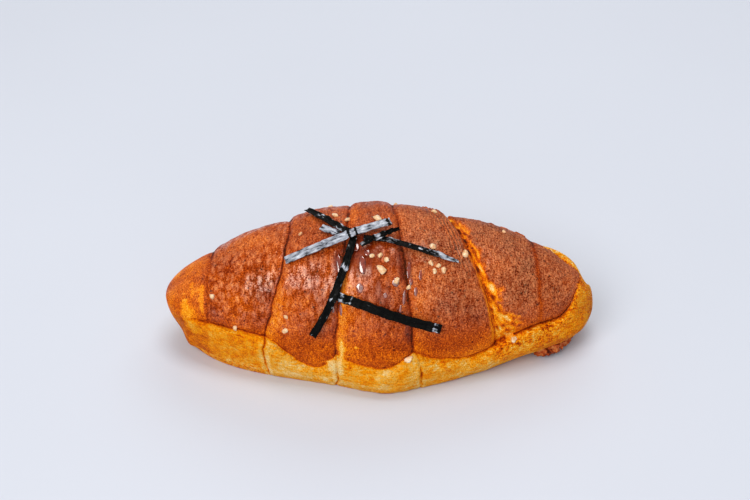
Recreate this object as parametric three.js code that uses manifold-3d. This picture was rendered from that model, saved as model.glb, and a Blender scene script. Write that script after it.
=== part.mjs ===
import * as THREE from "three";
import { mergeVertices } from "three/addons/utils/BufferGeometryUtils.js";
import Module from "manifold-3d";

// Salt bread roll: a strip of dough rolled up into a blunt spindle, browned on top, with a paler foot
// all round its base, chopped grains baked on, a browned leak under one end and shreds of seaweed.
// Millimetres, +Z up, X along the roll, -Y its front, origin at the middle of the flat base.
// A place on the roll is given by "along", -1 to 1 from the left tip to the right tip, and "angle",
// which is 0 at the front, 90 degrees at the ridge, 180 at the back and -90 under the base.

// Overall size, with the heights from the lowest point of the section, which is sunk below the flat base
const rollLength = 145;
const rollWidth = 62.9;
const rollHeight = 58.7;
const foldHeight = 18.7;
const baseSink = 8.5;
const axisOffset = 0.2;

// Each end: plan, ridge and underside fall off as (1 - reach^power)^root towards its tip
const ends = {
  left: { plan: [1.244, 0.438], ridge: [2.03, 0.83], under: [6.6, 0.8], tipRise: 8.4, sweep: 0.55 },
  right: { plan: [1.1, 0.411], ridge: [1.3, 0.452], under: [1.88, 0.62], tipRise: 1.8, sweep: 3.36 },
};
const domePower = 2.2;
const footPower = 2.23;

// Creases between the wraps, left to right: place at the ridge, lean towards the front, bow,
// depth on the front and on the back, and how far the wrap on the right stands above the left one
const creases = [
  { at: -0.78, lean: -0.01, bow: 0, front: 0.5, back: 1.3, step: 0.3 },
  { at: -0.415, lean: -0.03, bow: -0.08, front: 1.9, back: 1.7, step: 0.4 },
  { at: -0.15, lean: -0.035, bow: -0.015, front: 1.3, back: 1.5, step: 0.3 },
  { at: 0.075, lean: 0.07, bow: 0, front: 1.1, back: 1.5, step: -0.3 },
  { at: 0.355, lean: 0.17, bow: 0, front: 2.1, back: 1.9, step: -0.5 },
  { at: 0.7, lean: 0.03, bow: 0, front: 0, back: 1.3, step: -0.3 },
];
const creaseWidth = 1.1;
const puffWidth = 7;
const footCrease = 0.25;
const frontToBack = [-0.2, 0.8];

// Lower edge of the browned crust, in degrees up from the sides, at the left tip, at each crease and
// just before the right tip, with how far it sags between them and how far past its middle it hangs
const crustEdge = {
  front: [-25, 13, 15, 9.5, 12, 7, 21, 90],
  frontSag: [-9, -2.3, 15.5, 8, 8.1, 0, 0],
  frontClimb: 4,
  back: [-25, 13, 16, 11, 10, 13, 50, 90],
  backSag: [-9, 3, 7, 5, 6, 6, 0],
  backClimb: 1,
  skew: [1, 1, 1.6, 1.2, 1.25, 1, 1],
  tip: 0.93,
};

// How far the crust is set in from the foot at those places, and the notch along its edge
const crustInset = [0, 1, 1.1, 0.7, 0.9, 1.6, 2.3, 2.3];
const edgeNotch = 0.8;
const edgeNotchWidth = 2.4;
const insetRecovery = 13;
const footShoulder = 3.5;

// Where relief fades out: in degrees below the sides, in degrees as the edge climbs over the tip,
// and by radius towards the tips
const underFade = [-35, -8];
const rimFade = [72, 95];
const tipFade = [4, 16];

// Swells and hollows of the foot and the tips: place, reach along and around, and height
const swells = [
  { along: -0.938, angle: -31, alongReach: 0.03, angleReach: 25, height: -2.5 },
  { along: -0.895, angle: -39, alongReach: 0.025, angleReach: 20, height: 1.7 },
  { along: 0.068, angle: -16, alongReach: 0.21, angleReach: 30, height: 2.5 },
  { along: 0.644, angle: -24, alongReach: 0.13, angleReach: 15, height: -1.3 },
  { along: 0.978, angle: -7, alongReach: 0.1, angleReach: 24, height: 3.2 },
  { along: 0.965, angle: 58, alongReach: 0.03, angleReach: 14, height: 1.2 },
  { along: 0.965, angle: 122, alongReach: 0.03, angleReach: 35, height: -7 },
];

// Grid of the roll: columns in each wrap, and rows round the underside, foot and dome
const wrapColumns = [10, 14, 14, 12, 14, 14, 12];
const underRows = 4;
const footRows = 6;
const domeRows = 22;

// Chopped grains: place and half length of those in front and on the ridge, then strays over the back
const grainSpots = [
  [-0.205, 94.7, 1.15], [-0.148, 90.7, 0.9], [-0.013, 87.7, 1.5], [-0.04, 66.2, 0.8], [-0.005, 66.1, 0.95],
  [0.028, 64.3, 0.9], [0.003, 59.7, 1.6], [0.23, 73.4, 1.4], [0.22, 64.7, 1], [0.256, 63.3, 0.9],
  [0.236, 60.5, 1], [0.277, 61, 1], [0.376, 72.1, 1.2], [0.071, 54.5, 1.2], [0.123, 51.9, 0.8],
  [-0.757, 45.4, 0.95], [-0.655, 18.4, 0.9], [-0.427, 24.9, 0.9], [-0.422, 34.6, 0.7], [0.124, 8.8, 1.3],
  [0.071, 123, 0.9], [0.246, 103.3, 1], [0.601, 10.1, 1.3], [0.566, 99, 0.7], [-0.359, 83.9, 0.7],
];
const grainStrays = 12;
const strayAlong = [-0.6, 0.6];
const strayAngle = [118, 152];
const strayHalf = [0.7, 1.4];
const grainShape = [1, 0.72, 0.6];
const grainLift = 0.15;

// Browned leak: lumps along a line on the tray under the right end, taller where that end rises
const leakPath = [[53.5, -10.7], [57, -9.7], [60.5, -7.7], [63.6, -5.2]];
const leakLumps = 7;
const leakRise = [3.1, 4.3];
const leakHalves = [2, 2.4];
const leakClearance = 0.2;

const sliverSize = 0.01;

// Shreds of seaweed: path over the crust as [along, angle], width, and ride above it along the path
const shredThickness = 0.4;
const shredGap = 0.3;
const shredSegments = 16;
const shreds = {
  nori_strip_a: { path: [[-0.334, 104.8], [-0.228, 88.5], [-0.139, 79.9]], width: 2.4, ride: [0.1, 0.2, 0.1] },
  nori_strip_b: { path: [[-0.263, 83.7], [-0.224, 81], [-0.184, 79.1]], width: 2.4, ride: [0.3, 0.2, 0.1] },
  nori_strip_c: { path: [[-0.422, 67], [-0.159, 76.5], [0.043, 84.9]], width: 2.9, ride: [0.1, 1.2, 1.8] },
  nori_strip_d: { path: [[-0.118, 76.4], [-0.165, 55.4], [-0.301, 24.3]], width: 2.6, ride: [0.1, 0.2, 0.3] },
  nori_strip_e: { path: [[-0.075, 75.1], [0.119, 71.9], [0.343, 65.7]], width: 2.1, ride: [0.1, 0.2, 0.1] },
  nori_strip_f: { path: [[-0.172, 45.7], [0.043, 38.3], [0.264, 29]], width: 3.1, ride: [0.3, 0.2, 0.3] },
  nori_strip_g: { path: [[-0.085, 70.3], [-0, 75], [0.082, 79.3]], width: 2, ride: [0.7, 0.8, 0.6] },
};

const { clamp, lerp, smoothstep } = THREE.MathUtils;
const degree = Math.PI / 180;

// Seeded draw from 0 to 1: a linear congruential sequence
function makeRandom(seed) {
  let state = seed;
  return () => {
    state = (state * 1664525 + 1013904223) % 4294967296;
    return state / 4294967296;
  };
}

// Cross-section at a place: half width, height above and below its axis, and where the axis lies
function sectionAt(along) {
  const end = along < 0 ? ends.left : ends.right;
  const reach = Math.min(Math.abs(along), 1);
  const fallOff = ([power, root]) => (1 - reach ** power) ** root;
  const axisHeight = foldHeight + end.tipRise * reach ** 3;
  return {
    axisHeight,
    axisShift: axisOffset + end.sweep * reach ** 2,
    halfWidth: (rollWidth / 2) * fallOff(end.plan),
    above: (rollHeight - foldHeight) * fallOff(end.ridge),
    below: axisHeight * fallOff(end.under),
  };
}

// Radius of the plain section in a direction: a superellipse, rounder above its axis than below
function coreRadius(section, angle) {
  const level = Math.sin(angle);
  const power = level >= 0 ? domePower : footPower;
  const height = level >= 0 ? section.above : section.below;
  const across = Math.abs(Math.cos(angle) / section.halfWidth) ** power;
  return (across + Math.abs(level / height) ** power) ** (-1 / power);
}

// Angle in degrees at which the plain section meets the floor, or near its lowest point where it stays clear
function floorAngle(section) {
  const share = Math.min((section.axisHeight - baseSink) / section.below, 0.97);
  const across = section.halfWidth * (1 - share ** footPower) ** (1 / footPower);
  return -Math.atan2(share * section.below, across) / degree;
}

// Places where wraps meet at an angle: the left tip, each crease and the right tip
function wrapBounds(angle) {
  const front = Math.cos(angle);
  const inner = creases.map((crease) => crease.at + crease.lean * front + crease.bow * front * front);
  return [-1, ...inner, 1];
}

// Wrap that a place lies in, and its share of the way across it
function wrapAt(along, angle) {
  const bounds = wrapBounds(angle);
  let wrap = 0;
  while (wrap < bounds.length - 2 && along > bounds[wrap + 1]) wrap += 1;
  const share = (along - bounds[wrap]) / (bounds[wrap + 1] - bounds[wrap]);
  return { wrap, share: clamp(share, 0, 1), bounds };
}

// Angle of the crust's lower edge: scallops between the creases, some hanging lowest past their middle,
// then a climb over the right tip
function edgeAngle(levels, sags, climb, place, along) {
  const { wrap, share, bounds } = place;
  if (wrap === levels.length - 2) {
    const way = Math.max((along - bounds[wrap]) / (crustEdge.tip - bounds[wrap]), 0);
    return levels[wrap] + (levels[wrap + 1] - levels[wrap]) * way ** climb;
  }
  const skewed = share ** crustEdge.skew[wrap];
  return lerp(levels[wrap], levels[wrap + 1], share) - sags[wrap] * 4 * skewed * (1 - skewed);
}

function edgeAngles(place, along) {
  return {
    front: edgeAngle(crustEdge.front, crustEdge.frontSag, crustEdge.frontClimb, place, along),
    back: edgeAngle(crustEdge.back, crustEdge.backSag, crustEdge.backClimb, place, along),
  };
}

// Relief of one crease at a distance from it: a valley with puffed sides, one side standing higher
function creaseRelief(crease, distance, angle) {
  const depth = lerp(crease.front, crease.back, smoothstep(-Math.cos(angle), ...frontToBack));
  const narrow = Math.exp(-((distance / creaseWidth) ** 2));
  const wide = Math.exp(-((distance / puffWidth) ** 2));
  const tuck = Math.tanh(distance / creaseWidth) * Math.exp(-Math.abs(distance) / puffWidth);
  return depth * (crease.step * tuck - 0.5 * narrow - 0.5 * wide);
}

// Relief along the crust's edge: the crust is set in above it, the foot rolls out below it
function edgeRelief(rise, inset) {
  const setIn = rise > 0 ? Math.exp(-rise / insetRecovery) : Math.exp(rise / footShoulder);
  return -inset * setIn - edgeNotch * Math.exp(-((rise / edgeNotchWidth) ** 2)) * clamp(inset, 0, 1);
}

// Relief of the swells: a rounded bump or dip about each one's place
function swellRelief(along, turn) {
  return swells.reduce((sum, swell) => {
    const alongShare = (along - swell.along) / swell.alongReach;
    const angleShare = (turn - swell.angle) / swell.angleReach;
    return sum + swell.height * Math.exp(-(alongShare ** 2) - angleShare ** 2);
  }, 0);
}

// Point on the roll's surface
function rollPoint(along, angle) {
  const section = sectionAt(along);
  const place = wrapAt(along, angle);
  const edges = edgeAngles(place, along);
  const turn = angle / degree;
  const rise = Math.min(turn - edges.front, 180 - turn - edges.back);
  const inset = lerp(crustInset[place.wrap], crustInset[place.wrap + 1], place.share);
  const core = coreRadius(section, angle);

  const onSide = smoothstep(Math.min(turn, 180 - turn), ...underFade);
  const edgeHere = 1 - smoothstep(Math.max(edges.front, edges.back), ...rimFade);
  const onCrust = lerp(footCrease, 1, smoothstep(rise, -2, 3));
  const blunt = smoothstep(core, ...tipFade);
  const relief = creases.reduce((sum, crease, index) => {
    const distance = ((along - place.bounds[index + 1]) * rollLength) / 2;
    return sum + creaseRelief(crease, distance, angle);
  }, 0);
  const edge = edgeHere * edgeRelief(rise, inset);
  const radius = core + blunt * (onSide * (relief * onCrust + edge) + swellRelief(along, turn));
  return onRoll(along, section, angle, radius);
}

// Point at a radius from the section's axis, pressed flat at the base
function onRoll(along, section, angle, radius) {
  const height = section.axisHeight + radius * Math.sin(angle) - baseSink;
  const depth = section.axisShift - radius * Math.cos(angle);
  return new THREE.Vector3((along * rollLength) / 2, depth, Math.max(height, 0));
}

// Point that rides over the plain form, bridging its creases
function ridePoint(along, angle, ride) {
  const section = sectionAt(along);
  return onRoll(along, section, angle, coreRadius(section, angle) + ride);
}

// Outward normal of the plain form
function rideNormal(along, angle) {
  const step = 0.01;
  const lengthwise = ridePoint(along + step, angle, 0).sub(ridePoint(along - step, angle, 0));
  const around = ridePoint(along, angle + step, 0).sub(ridePoint(along, angle - step, 0));
  return lengthwise.cross(around).normalize();
}

function meshGeometry(points, triangles) {
  const geometry = new THREE.BufferGeometry();
  const positions = points.flatMap((point) => [point.x, point.y, point.z]);
  geometry.setAttribute("position", new THREE.Float32BufferAttribute(positions, 3));
  geometry.setIndex(triangles);
  return geometry;
}

// Angles of the rows round the roll, with a row on the crust's edge wherever it runs low enough
function rowAngles(wrap, share) {
  const spread = (from, to, count) => Array.from({ length: count }, (_, k) => lerp(from, to, k / count));
  const edgesNear = (turn) => {
    const bounds = wrapBounds(turn * degree);
    return edgeAngles({ wrap, share, bounds }, lerp(bounds[wrap], bounds[wrap + 1], share));
  };
  const floorNear = (turn) => {
    const bounds = wrapBounds(turn * degree);
    return floorAngle(sectionAt(lerp(bounds[wrap], bounds[wrap + 1], share)));
  };
  const front = clamp(edgesNear(20).front, -4, 60);
  const back = 180 - clamp(edgesNear(160).back, -4, 60);
  const frontCorner = floorNear(0);
  const backCorner = 180 - floorNear(180);
  const dome = spread(0, 1, domeRows).map((t) => t - (0.6 * Math.sin(2 * Math.PI * t)) / (2 * Math.PI));
  return [
    ...spread(-90, frontCorner, underRows),
    ...spread(frontCorner, front, footRows),
    ...dome.map((t) => lerp(front, back, t)),
    ...spread(back, backCorner, footRows),
    ...spread(backCorner, 270, underRows),
  ];
}

// Closed surface of the roll: columns follow the creases, with a single point at each tip
function rollGeometry() {
  const columns = wrapColumns.flatMap((count, wrap) =>
    Array.from({ length: count }, (_, k) => [wrap, (1 - Math.cos((Math.PI * k) / count)) / 2]),
  ).slice(1);
  const points = columns.flatMap(([wrap, share]) => {
    return rowAngles(wrap, share).map((turn) => {
      const bounds = wrapBounds(turn * degree);
      return rollPoint(lerp(bounds[wrap], bounds[wrap + 1], share), turn * degree);
    });
  });

  const rowCount = points.length / columns.length;
  const triangles = [];
  const next = (row) => (row + 1) % rowCount;
  for (let column = 0; column < columns.length - 1; column += 1) {
    for (let row = 0; row < rowCount; row += 1) {
      const a = column * rowCount + row;
      const b = column * rowCount + next(row);
      triangles.push(a, a + rowCount, b, b, a + rowCount, b + rowCount);
    }
  }
  const leftTip = points.push(tipPoint(-1)) - 1;
  const rightTip = points.push(tipPoint(1)) - 1;
  const lastColumn = (columns.length - 1) * rowCount;
  for (let row = 0; row < rowCount; row += 1) {
    triangles.push(leftTip, row, next(row));
    triangles.push(rightTip, lastColumn + next(row), lastColumn + row);
  }
  return meshGeometry(points, triangles);
}

function tipPoint(along) {
  const section = sectionAt(along);
  return new THREE.Vector3((along * rollLength) / 2, section.axisShift, section.axisHeight - baseSink);
}

// Line of a seaweed shred over the roll: a parabola through its start, middle and end
function shredStations({ path, ride }) {
  const spots = path.map(([along, angle], k) => new THREE.Vector3(along, angle * degree, ride[k]));
  const [start, middle, end] = spots;
  const control = middle.clone().multiplyScalar(2).sub(start.clone().lerp(end, 0.5));
  const course = new THREE.QuadraticBezierCurve3(start, control, end);
  return course.getPoints(shredSegments).map((spot) => {
    const above = shredGap + shredThickness / 2 + spot.z;
    return { centre: ridePoint(spot.x, spot.y, above), normal: rideNormal(spot.x, spot.y) };
  });
}

// Seaweed shred: a thin strip along its line, its two faces split alike
function shredGeometry(shred) {
  const stations = shredStations(shred);
  const points = stations.flatMap(({ centre, normal }, k) => {
    const before = stations[Math.max(k - 1, 0)].centre;
    const after = stations[Math.min(k + 1, shredSegments)].centre;
    const sideways = after.clone().sub(before).cross(normal).setLength(shred.width / 2);
    const thick = normal.clone().multiplyScalar(shredThickness / 2);
    return [
      centre.clone().sub(sideways).add(thick),
      centre.clone().add(sideways).add(thick),
      centre.clone().add(sideways).sub(thick),
      centre.clone().sub(sideways).sub(thick),
    ];
  });
  const triangles = [];
  for (let k = 0; k < shredSegments; k += 1) {
    const a = 4 * k;
    triangles.push(a, a + 1, a + 4, a + 1, a + 5, a + 4);
    triangles.push(a + 3, a + 7, a + 2, a + 2, a + 7, a + 6);
    triangles.push(a + 1, a + 2, a + 5, a + 2, a + 6, a + 5);
    triangles.push(a + 3, a, a + 7, a, a + 4, a + 7);
  }
  const last = 4 * shredSegments;
  triangles.push(0, 2, 1, 0, 3, 2);
  triangles.push(last, last + 1, last + 2, last, last + 2, last + 3);
  return meshGeometry(points, triangles);
}

const wasm = await Module();
wasm.setup();

function solidOf(geometry) {
  const plain = geometry.clone();
  plain.deleteAttribute("normal");
  plain.deleteAttribute("uv");
  const merged = mergeVertices(plain, 1e-4);
  return new wasm.Manifold(new wasm.Mesh({
    numProp: 3,
    vertProperties: new Float32Array(merged.attributes.position.array),
    triVerts: new Uint32Array(merged.index.array),
  }));
}

function geometryOf(solid) {
  const mesh = solid.getMesh();
  const geometry = new THREE.BufferGeometry();
  const positions = [];
  for (let k = 0; k < mesh.numVert; k += 1) {
    positions.push(...mesh.vertProperties.slice(k * mesh.numProp, k * mesh.numProp + 3));
  }
  geometry.setAttribute("position", new THREE.Float32BufferAttribute(positions, 3));
  geometry.setIndex(Array.from(mesh.triVerts));
  return geometry;
}

// Twelve-sided lump with its own half lengths, turned so that its third one points outward
function lumpSolid(centre, outward, spin, halves) {
  const geometry = new THREE.DodecahedronGeometry(1);
  const upright = new THREE.Quaternion().setFromUnitVectors(new THREE.Vector3(0, 0, 1), outward);
  const spun = new THREE.Quaternion().setFromAxisAngle(new THREE.Vector3(0, 0, 1), spin);
  const placed = new THREE.Matrix4().compose(centre, upright.multiply(spun), new THREE.Vector3(...halves));
  return solidOf(geometry.applyMatrix4(placed));
}

// Places of the grains, with the strays drawn at random
function grainPlaces() {
  const random = makeRandom(11);
  const strays = Array.from({ length: grainStrays }, () =>
    [strayAlong, strayAngle, strayHalf].map(([low, high]) => lerp(low, high, random())),
  );
  return [...grainSpots, ...strays].map(([along, turn, half]) => ({
    centre: rollPoint(along, turn * degree),
    outward: rideNormal(along, turn * degree),
    half,
    spin: random() * Math.PI,
  }));
}

function leakSolids() {
  const random = makeRandom(5);
  const path = new THREE.CatmullRomCurve3(leakPath.map(([x, y]) => new THREE.Vector3(x, y, 0)));
  return Array.from({ length: leakLumps }, (_, k) => {
    const way = k / (leakLumps - 1);
    const size = lerp(0.85, 1.15, random());
    const rise = lerp(...leakRise, way);
    const halves = [...leakHalves.map((half) => half * size), rise - leakClearance];
    return lumpSolid(path.getPoint(way).setZ(rise), new THREE.Vector3(0, 0, 1), random() * Math.PI, halves);
  });
}

// Roll, grains and leak as one solid, without the slivers left where their faces just cross
function breadSolid() {
  const grains = grainPlaces().map(({ centre, half, spin, outward }) => {
    const lifted = centre.clone().addScaledVector(outward, grainLift * half);
    return lumpSolid(lifted, outward, spin, grainShape.map((share) => share * half));
  });
  const joined = wasm.Manifold.union([solidOf(rollGeometry()), ...grains, ...leakSolids()]);
  return joined.asOriginal().simplify(sliverSize);
}

const group = new THREE.Group();
group.name = "salt_bread_roll";

function addPiece(name, geometry, look) {
  const piece = new THREE.Mesh(geometry, new THREE.MeshStandardMaterial({ metalness: 0, ...look }));
  piece.name = name;
  group.add(piece);
}

addPiece("bread_roll", geometryOf(breadSolid()), { color: 0xb4581a, roughness: 0.4 });
for (const [name, shred] of Object.entries(shreds)) {
  addPiece(name, shredGeometry(shred), { color: 0x1c1f18, roughness: 0.5 });
}

export default group;
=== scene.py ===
import bpy
import numpy as np
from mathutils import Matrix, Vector


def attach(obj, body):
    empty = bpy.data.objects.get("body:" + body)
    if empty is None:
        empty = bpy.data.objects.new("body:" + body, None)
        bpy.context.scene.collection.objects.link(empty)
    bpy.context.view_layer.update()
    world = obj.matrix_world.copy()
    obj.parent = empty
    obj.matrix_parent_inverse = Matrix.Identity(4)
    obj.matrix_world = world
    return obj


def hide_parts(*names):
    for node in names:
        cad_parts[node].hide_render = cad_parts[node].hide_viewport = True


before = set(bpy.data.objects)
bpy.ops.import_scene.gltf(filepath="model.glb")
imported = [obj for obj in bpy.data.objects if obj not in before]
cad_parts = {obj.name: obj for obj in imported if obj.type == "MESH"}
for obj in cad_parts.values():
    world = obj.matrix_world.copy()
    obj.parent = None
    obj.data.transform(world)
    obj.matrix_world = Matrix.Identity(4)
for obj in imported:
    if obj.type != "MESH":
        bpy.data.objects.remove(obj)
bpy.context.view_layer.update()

# Forms are worked out in millimetres and scaled to metres when a mesh is made.
# A place on the roll is "along", -1 to 1 from the left tip to the right tip, and "turn", in degrees:
# 0 at the front, 90 at the ridge, 180 at the back and -90 under the base.
metre = 0.001
degree = np.pi / 180
scene = bpy.context.scene


def mix(low, high, share):
    return low + (high - low) * share


# 0 below low, 1 above high and 3t^2 - 2t^3 between them
def smooth(value, low, high):
    share = np.clip((value - low) / (high - low), 0, 1)
    return share * share * (3 - 2 * share)


# exp(-x^2), 1 in the middle
def bell(value, width):
    return np.exp(-(value / width) ** 2)


# Parts side by side along a new last axis
def joined(*parts):
    return np.stack(np.broadcast_arrays(*parts), -1)


# Vectors made one long
def unit(vectors):
    return vectors / (np.linalg.norm(vectors, axis=-1, keepdims=True) + 1e-9)


# Gradient noise, about -1 to 1: a hashed slope at each corner of a unit lattice,
# the corners blended by 6t^5 - 15t^4 + 10t^3
def noise(spots, seed):
    cell = np.floor(spots)
    local = spots - cell
    fade = local ** 3 * (local * (local * 6 - 15) + 10)
    total = np.zeros(spots.shape[:-1])
    for corner in np.ndindex(2, 2, 2):
        key = (cell + corner).astype(np.int64) * (374761393, 668265263, 1442695041)
        code = (key.sum(-1) + seed * 97531) & 0xFFFFFFFF
        code = ((code ^ (code >> 13)) * 1274126177) & 0xFFFFFFFF
        code = code ^ (code >> 16)
        slope = joined(code & 1023, (code >> 10) & 1023, (code >> 20) & 1023) / 511.5 - 1
        total += np.prod(np.where(corner, fade, 1 - fade), -1) * np.sum(slope * (local - corner), -1)
    return 1.4 * total


# Noise of a feature size in mm, summed over layers that are each half as large and half as strong
def clouds(spots, size, seed, layers=2):
    return sum(noise(spots * 2 ** k / size, seed + 17 * k) * 0.5 ** k for k in range(layers))


# Seeded draws from 0 to 1: a linear congruential sequence
def makeRandom(seed):
    state = seed
    while True:
        state = (state * 1664525 + 1013904223) % 2 ** 32
        yield state / 2 ** 32


# Closed mesh from grids points[item, column, row], the rows running round each item and the columns
# closed by its two end points; spread gives u and v with one more row, fields are numbers at the points
def closedMesh(name, points, ends, spread, fields=None):
    items, columns, rows = points.shape[:3]
    grid = np.arange(columns * rows).reshape(columns, rows)
    after = np.roll(grid, -1, axis=1)
    quads = joined(grid[:-1], grid[1:], after[1:], after[:-1]).reshape(-1, 4)
    startFan = joined(columns * rows, grid[0], after[0])
    endFan = joined(columns * rows + 1, after[-1], grid[-1])
    shift = (np.arange(items) * (columns * rows + 2))[:, None, None]
    quads = (quads + shift).reshape(-1, 4)
    fans = (np.concatenate([startFan, endFan]) + shift).reshape(-1, 3)
    spots = np.concatenate([points.reshape(items, -1, 3), ends], 1).reshape(-1, 3)

    mesh = bpy.data.meshes.new(name)
    mesh.from_pydata((spots * metre).tolist(), [], quads.tolist() + fans.tolist())
    mesh.polygons.foreach_set("use_smooth", np.ones(len(mesh.polygons), bool))

    here, there = spread[:, :, :-1], spread[:, :, 1:]
    quadSpread = np.stack([here[:, :-1], here[:, 1:], there[:, 1:], there[:, :-1]], -2)
    middle = (here + there) / 2
    fanSpread = np.stack([
        np.stack([middle[:, 0], here[:, 0], there[:, 0]], -2),
        np.stack([middle[:, -1], there[:, -1], here[:, -1]], -2),
    ], 1)
    layer = mesh.uv_layers.new(name="flow")
    flat = np.concatenate([quadSpread.ravel(), fanSpread.ravel()])
    layer.data.foreach_set("uv", (flat * metre).astype(np.float32))

    for field, values in (fields or {}).items():
        closing = values[:, [0, -1]].mean(-1)
        flat = np.concatenate([values.reshape(items, -1), closing], 1).ravel()
        mesh.attributes.new(field, "FLOAT", "POINT").data.foreach_set("value", flat.astype(np.float32))
    mesh.update()
    piece = bpy.data.objects.new(name, mesh)
    scene.collection.objects.link(piece)
    return piece


rollForm = {
    "length": 145,
    "width": 62.9,
    "height": 58.7,
    "foldHeight": 18.7,
    "baseSink": 8.5,
    "axisOffset": 0.2,
    # left and right: power and root of each fall-off to the tip, and the axis's rise and sweep back there
    "plan": ((1.244, 0.438), (1.1, 0.411)),
    "ridge": ((2.03, 0.83), (1.3, 0.452)),
    "under": ((6.6, 0.8), (1.88, 0.62)),
    "tipRise": (8.4, 1.8),
    "sweep": (0.55, 3.36),
    "domePower": 2.2,
    "footPower": 2.23,
    # creases: place at the ridge, lean to the front, bow, depth in front and behind, step up to the right
    "creases": np.array([
        (-0.78, -0.01, 0, 0.5, 1.3, 0.3),
        (-0.415, -0.03, -0.08, 1.9, 1.7, 0.4),
        (-0.15, -0.035, -0.015, 1.3, 1.5, 0.3),
        (0.075, 0.07, 0, 1.1, 1.5, -0.3),
        (0.355, 0.17, 0, 2.1, 1.9, -0.5),
        (0.7, 0.03, 0, 0, 1.3, -0.3),
    ]),
    "creaseWidth": 1.1,
    "puffWidth": 7,
    "footCrease": 0.25,
    # lower edge of the crust at the left tip, the creases and the right tip, its sag between and its climb
    "frontEdge": ((-25, 13, 15, 9.5, 12, 7, 21, 90), (-9, -2.3, 15.5, 8, 8.1, 0, 0), 4),
    "backEdge": ((-25, 13, 16, 11, 10, 13, 50, 90), (-9, 3, 7, 5, 6, 6, 0), 1),
    "sagSkew": (1, 1, 1.6, 1.2, 1.25, 1, 1),
    "edgeTip": 0.93,
    "crustInset": (0, 1, 1.1, 0.7, 0.9, 1.6, 2.3, 2.3),
    "edgeNotch": (0.8, 2.4),
    "insetRecovery": 13,
    "footShoulder": 3.5,
    # turns over which the relief starts and the crust's edge runs out, radii over which the tips go blunt
    "sideStart": (-35, -8),
    "edgeEnd": (72, 95),
    "bluntTip": (4, 16),
    # swells: along, turn, reach along and around, height
    "swells": (
        (-0.938, -31, 0.03, 25, -2.5),
        (-0.895, -39, 0.025, 20, 1.7),
        (0.068, -16, 0.21, 30, 2.5),
        (0.644, -24, 0.13, 15, -1.3),
        (0.978, -7, 0.1, 24, 3.2),
        (0.965, 58, 0.03, 14, 1.2),
        (0.965, 122, 0.03, 35, -7),
    ),
    # grid of the mesh, its crowding at creases and edges, and the turns in which rows follow the edge
    "wrapColumns": (40, 62, 50, 42, 54, 58, 40),
    "underRows": 14,
    "footRows": 40,
    "domeRows": 164,
    "columnCrowd": 0.6,
    "rowCrowd": 0.4,
    "edgeRows": (-4, 60),
    # radius at which the surface is unrolled for streaks
    "flowRadius": 30,
}


# Section of the roll: its axis, half width, and heights above and below the axis,
# each falling off to the tip as (1 - reach^power)^root
def sectionAt(along):
    onLeft = along < 0
    reach = np.minimum(np.abs(along), 1 - 1e-9)

    def fallOff(name):
        power, root = (np.where(onLeft, *pair) for pair in zip(*rollForm[name]))
        return (1 - reach ** power) ** root

    axisHeight = rollForm["foldHeight"] + np.where(onLeft, *rollForm["tipRise"]) * reach ** 3
    return {
        "axisHeight": axisHeight,
        "axisShift": rollForm["axisOffset"] + np.where(onLeft, *rollForm["sweep"]) * reach ** 2,
        "halfWidth": rollForm["width"] / 2 * fallOff("plan"),
        "above": (rollForm["height"] - rollForm["foldHeight"]) * fallOff("ridge"),
        "below": axisHeight * fallOff("under"),
    }


# Radius of the plain section: a superellipse, rounder above its axis than below
def coreRadius(section, turn):
    level = np.sin(turn * degree)
    power = np.where(level >= 0, rollForm["domePower"], rollForm["footPower"])
    height = np.where(level >= 0, section["above"], section["below"])
    across = np.abs(np.cos(turn * degree) / section["halfWidth"]) ** power
    return (across + np.abs(level / height) ** power) ** (-1 / power)


# Turn at which the plain section meets the floor, or near its lowest point where it stays clear of the floor
def floorTurn(section):
    power = rollForm["footPower"]
    share = np.clip((section["axisHeight"] - rollForm["baseSink"]) / section["below"], 0, 0.97)
    across = section["halfWidth"] * (1 - share ** power) ** (1 / power)
    return -np.arctan2(share * section["below"], across) / degree


# Point at a radius from the section's axis, pressed flat at the base
def onRoll(along, section, turn, radius):
    height = section["axisHeight"] + radius * np.sin(turn * degree) - rollForm["baseSink"]
    depth = section["axisShift"] - radius * np.cos(turn * degree)
    return joined(along * rollForm["length"] / 2, depth, np.maximum(height, 0))


# Places where wraps meet: the left tip, each crease as at + lean cos + bow cos^2, and the right tip
def wrapBounds(turn):
    front = np.cos(turn * degree)
    inner = [at + lean * front + bow * front ** 2 for at, lean, bow in rollForm["creases"][:, :3]]
    return np.stack([np.full_like(front, -1), *inner, np.full_like(front, 1)])


# Bounds on both sides of a wrap
def sidesOf(bounds, wrap):
    return [np.take_along_axis(bounds, wrap[None] + side, 0)[0] for side in (0, 1)]


# Turn of the crust's lower edge: scallops between the creases, skewed as a power of the share so that they
# hang lowest past their middle, climbing over the right tip as a power
def edgeTurn(side, wrap, share, along, lastBound):
    levels, sags, climb = (np.array(values, float) for values in rollForm[side])
    skewed = share ** np.array(rollForm["sagSkew"])[wrap]
    edge = mix(levels[wrap], levels[wrap + 1], share) - sags[wrap] * 4 * skewed * (1 - skewed)
    way = np.maximum((along - lastBound) / (rollForm["edgeTip"] - lastBound), 0)
    return np.where(wrap == len(sags) - 1, mix(levels[-2], levels[-1], way ** climb), edge)


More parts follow.
